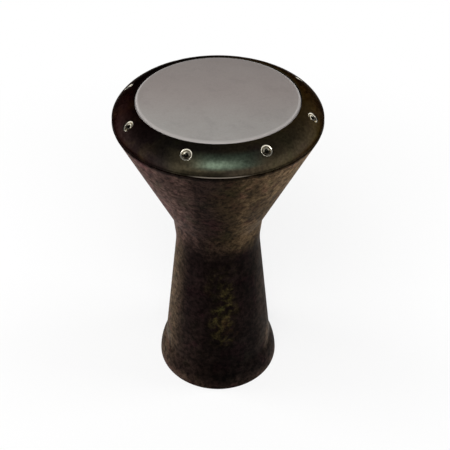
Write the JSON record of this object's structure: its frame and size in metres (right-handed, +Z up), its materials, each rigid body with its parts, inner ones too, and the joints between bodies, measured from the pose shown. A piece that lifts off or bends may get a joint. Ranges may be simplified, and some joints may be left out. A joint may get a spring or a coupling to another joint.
{
  "type": "goblet drum",
  "caption": "Goblet drum with a cone and waist cast in one, a rounded tuning ring with leaning socket bolts, and a film head.",
  "frame": {"origin": "centre of the foot, on the surface that the drum stands on", "axes": "+Z up the drum's axis towards the playing face, +X to the right and -Y towards the camera of the picture"},
  "size_m": [0.2586, 0.2586, 0.4416],
  "materials": {
    "shell_patina": "dark brown mottled patina under satin lacquer",
    "ring_patina": "near-black patina, satin lacquer",
    "film": "matt grey polyester film",
    "hoop_aluminium": "plain rolled channel",
    "cup_chrome": "bright plating",
    "washer_steel": "plain",
    "bolt_steel": "nickel plated",
    "insert_steel": "plain"
  },
  "bodies": {
    "shell_body": {"shell": "shell_patina", "drumhead": "film", "threaded_insert_1": "insert_steel", "threaded_insert_2": "insert_steel", "threaded_insert_3": "insert_steel", "threaded_insert_4": "insert_steel", "threaded_insert_5": "insert_steel", "threaded_insert_6": "insert_steel", "threaded_insert_7": "insert_steel", "threaded_insert_8": "insert_steel"},
    "ring_body": {"tuning_ring": "ring_patina", "head_hoop": "hoop_aluminium", "cup_washer_1": "cup_chrome", "cup_washer_2": "cup_chrome", "cup_washer_3": "cup_chrome", "cup_washer_4": "cup_chrome", "cup_washer_5": "cup_chrome", "cup_washer_6": "cup_chrome", "cup_washer_7": "cup_chrome", "cup_washer_8": "cup_chrome"},
    "washer_1_body": {"flat_washer_1": "washer_steel"},
    "bolt_1_body": {"bolt_1": "bolt_steel"},
    "washer_2_body": {"flat_washer_2": "washer_steel"},
    "bolt_2_body": {"bolt_2": "bolt_steel"},
    "washer_3_body": {"flat_washer_3": "washer_steel"},
    "bolt_3_body": {"bolt_3": "bolt_steel"},
    "washer_4_body": {"flat_washer_4": "washer_steel"},
    "bolt_4_body": {"bolt_4": "bolt_steel"},
    "washer_5_body": {"flat_washer_5": "washer_steel"},
    "bolt_5_body": {"bolt_5": "bolt_steel"},
    "washer_6_body": {"flat_washer_6": "washer_steel"},
    "bolt_6_body": {"bolt_6": "bolt_steel"},
    "washer_7_body": {"flat_washer_7": "washer_steel"},
    "bolt_7_body": {"bolt_7": "bolt_steel"},
    "washer_8_body": {"flat_washer_8": "washer_steel"},
    "bolt_8_body": {"bolt_8": "bolt_steel"}
  },
  "joints": [
    {"name": "ring_travel", "type": "slide", "parent": "shell_body", "child": "ring_body", "axis": [0, 0, 1], "range_m": [-0.0008, 0.001]},
    {"name": "bolt_1_lift", "type": "slide", "parent": "shell_body", "child": "washer_1_body", "axis": [-0.1851, -0.5872, 0.788], "range_m": [-0.00064, 0.0008]},
    {"name": "bolt_1_turn", "type": "hinge", "parent": "washer_1_body", "child": "bolt_1_body", "pos_m": [-0.03378, -0.10714, 0.42812], "axis": [-0.1851, -0.5872, 0.788], "range_deg": [-290, 360]},
    {"name": "bolt_2_lift", "type": "slide", "parent": "shell_body", "child": "washer_2_body", "axis": [0.2843, -0.5461, 0.788], "range_m": [-0.00064, 0.0008]},
    {"name": "bolt_2_turn", "type": "hinge", "parent": "washer_2_body", "child": "bolt_2_body", "pos_m": [0.05187, -0.09964, 0.42812], "axis": [0.2843, -0.5461, 0.788], "range_deg": [-290, 360]},
    {"name": "bolt_3_lift", "type": "slide", "parent": "shell_body", "child": "washer_3_body", "axis": [0.5872, -0.1851, 0.788], "range_m": [-0.00064, 0.0008]},
    {"name": "bolt_3_turn", "type": "hinge", "parent": "washer_3_body", "child": "bolt_3_body", "pos_m": [0.10714, -0.03378, 0.42812], "axis": [0.5872, -0.1851, 0.788], "range_deg": [-290, 360]},
    {"name": "bolt_4_lift", "type": "slide", "parent": "shell_body", "child": "washer_4_body", "axis": [0.5461, 0.2843, 0.788], "range_m": [-0.00064, 0.0008]},
    {"name": "bolt_4_turn", "type": "hinge", "parent": "washer_4_body", "child": "bolt_4_body", "pos_m": [0.09964, 0.05187, 0.42812], "axis": [0.5461, 0.2843, 0.788], "range_deg": [-290, 360]},
    {"name": "bolt_5_lift", "type": "slide", "parent": "shell_body", "child": "washer_5_body", "axis": [0.1851, 0.5872, 0.788], "range_m": [-0.00064, 0.0008]},
    {"name": "bolt_5_turn", "type": "hinge", "parent": "washer_5_body", "child": "bolt_5_body", "pos_m": [0.03378, 0.10714, 0.42812], "axis": [0.1851, 0.5872, 0.788], "range_deg": [-290, 360]},
    {"name": "bolt_6_lift", "type": "slide", "parent": "shell_body", "child": "washer_6_body", "axis": [-0.2843, 0.5461, 0.788], "range_m": [-0.00064, 0.0008]},
    {"name": "bolt_6_turn", "type": "hinge", "parent": "washer_6_body", "child": "bolt_6_body", "pos_m": [-0.05187, 0.09964, 0.42812], "axis": [-0.2843, 0.5461, 0.788], "range_deg": [-290, 360]},
    {"name": "bolt_7_lift", "type": "slide", "parent": "shell_body", "child": "washer_7_body", "axis": [-0.5872, 0.1851, 0.788], "range_m": [-0.00064, 0.0008]},
    {"name": "bolt_7_turn", "type": "hinge", "parent": "washer_7_body", "child": "bolt_7_body", "pos_m": [-0.10714, 0.03378, 0.42812], "axis": [-0.5872, 0.1851, 0.788], "range_deg": [-290, 360]},
    {"name": "bolt_8_lift", "type": "slide", "parent": "shell_body", "child": "washer_8_body", "axis": [-0.5461, -0.2843, 0.788], "range_m": [-0.00064, 0.0008]},
    {"name": "bolt_8_turn", "type": "hinge", "parent": "washer_8_body", "child": "bolt_8_body", "pos_m": [-0.09964, -0.05187, 0.42812], "axis": [-0.5461, -0.2843, 0.788], "range_deg": [-290, 360]}
  ],
  "couplings": [
    {"joint": "bolt_1_lift", "follows": "ring_travel", "ratio": 0.78801},
    {"joint": "bolt_1_turn", "follows": "ring_travel", "rad_per_m": 6189},
    {"joint": "bolt_2_lift", "follows": "ring_travel", "ratio": 0.78801},
    {"joint": "bolt_2_turn", "follows": "ring_travel", "rad_per_m": 6189},
    {"joint": "bolt_3_lift", "follows": "ring_travel", "ratio": 0.78801},
    {"joint": "bolt_3_turn", "follows": "ring_travel", "rad_per_m": 6189},
    {"joint": "bolt_4_lift", "follows": "ring_travel", "ratio": 0.78801},
    {"joint": "bolt_4_turn", "follows": "ring_travel", "rad_per_m": 6189},
    {"joint": "bolt_5_lift", "follows": "ring_travel", "ratio": 0.78801},
    {"joint": "bolt_5_turn", "follows": "ring_travel", "rad_per_m": 6189},
    {"joint": "bolt_6_lift", "follows": "ring_travel", "ratio": 0.78801},
    {"joint": "bolt_6_turn", "follows": "ring_travel", "rad_per_m": 6189},
    {"joint": "bolt_7_lift", "follows": "ring_travel", "ratio": 0.78801},
    {"joint": "bolt_7_turn", "follows": "ring_travel", "rad_per_m": 6189},
    {"joint": "bolt_8_lift", "follows": "ring_travel", "ratio": 0.78801},
    {"joint": "bolt_8_turn", "follows": "ring_travel", "rad_per_m": 6189}
  ]
}
